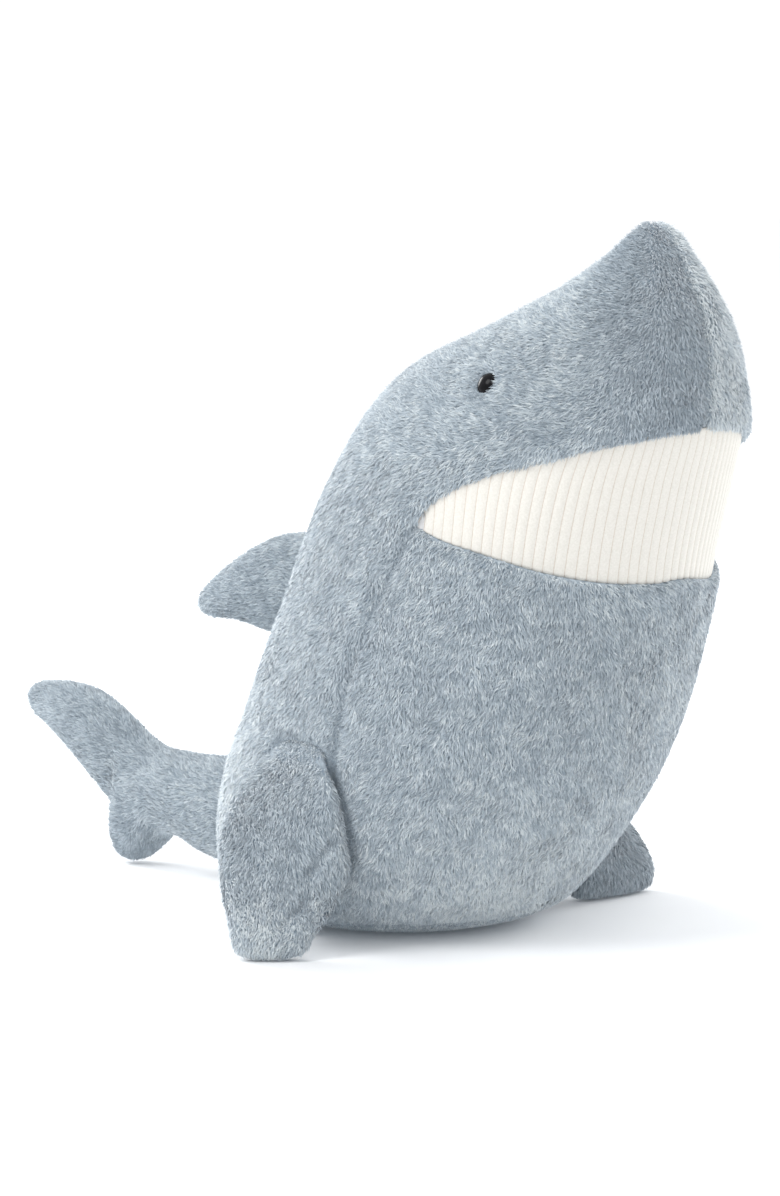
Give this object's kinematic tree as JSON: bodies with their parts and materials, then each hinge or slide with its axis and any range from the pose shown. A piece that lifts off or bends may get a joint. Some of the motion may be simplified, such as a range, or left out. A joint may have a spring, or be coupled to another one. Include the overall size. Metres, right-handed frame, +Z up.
{
  "type": "plush shark",
  "caption": "Sitting plush shark with blue-grey fur, a wide ribbed cream mouth, black bead eyes, two pectoral fins, a dorsal fin and a forked tail that flex at their sewn roots.",
  "frame": {"origin": "on the flat sole, on the middle plane, level front to back with the roots of the pectoral fins", "axes": "+Z up, -Y the way the shark faces, +X its left side"},
  "size_m": [0.2206, 0.3818, 0.2698],
  "materials": {
    "blue_grey_fur": "short dense heathered plush pile",
    "cream_rib": "ribbed soft cloth, ribs up and down the mouth",
    "black_eye": "polished black bead",
    "washer_plastic": "moulded white plastic",
    "filling_fibre": "loose polyester fibre",
    "pouch_cloth": "plain woven cotton",
    "bean_plastic": "loose plastic beans"
  },
  "bodies": {
    "body": {"back_panel_right": "blue_grey_fur", "back_panel_left": "blue_grey_fur", "belly_panel": "blue_grey_fur", "base_panel": "blue_grey_fur", "mouth_panel": "cream_rib", "eye_right": "black_eye", "eye_left": "black_eye", "eye_washer_right": "washer_plastic", "eye_washer_left": "washer_plastic", "body_stuffing": "filling_fibre", "bean_pouch": "pouch_cloth", "bean_fill": "bean_plastic"},
    "pectoral_fin_right": {"pectoral_fin_right_outer": "blue_grey_fur", "pectoral_fin_right_inner": "blue_grey_fur", "pectoral_fin_right_stuffing": "filling_fibre"},
    "pectoral_fin_left": {"pectoral_fin_left_outer": "blue_grey_fur", "pectoral_fin_left_inner": "blue_grey_fur", "pectoral_fin_left_stuffing": "filling_fibre"},
    "dorsal_fin": {"dorsal_fin_left": "blue_grey_fur", "dorsal_fin_right": "blue_grey_fur", "dorsal_fin_stuffing": "filling_fibre"},
    "tail": {"tail_left": "blue_grey_fur", "tail_right": "blue_grey_fur", "tail_stuffing": "filling_fibre"}
  },
  "joints": [
    {"name": "pectoral_right_flap", "type": "hinge", "parent": "body", "child": "pectoral_fin_right", "pos_m": [-0.0826, 0, 0.0726], "axis": [0, 1, 0], "range_deg": [-2, 60], "stiffness_Nm_per_rad": 0.12},
    {"name": "pectoral_left_flap", "type": "hinge", "parent": "body", "child": "pectoral_fin_left", "pos_m": [0.0826, 0, 0.0726], "axis": [0, -1, 0], "range_deg": [-2, 60], "stiffness_Nm_per_rad": 0.12},
    {"name": "dorsal_bend", "type": "hinge", "parent": "body", "child": "dorsal_fin", "pos_m": [0, 0.07225, 0.1205], "axis": [0, -0.416, 0.9094], "range_deg": [-28, 28], "stiffness_Nm_per_rad": 0.08},
    {"name": "tail_swing", "type": "hinge", "parent": "body", "child": "tail", "pos_m": [0, 0.1235, 0.028], "axis": [0, 0, 1], "range_deg": [-30, 30], "stiffness_Nm_per_rad": 0.15}
  ]
}
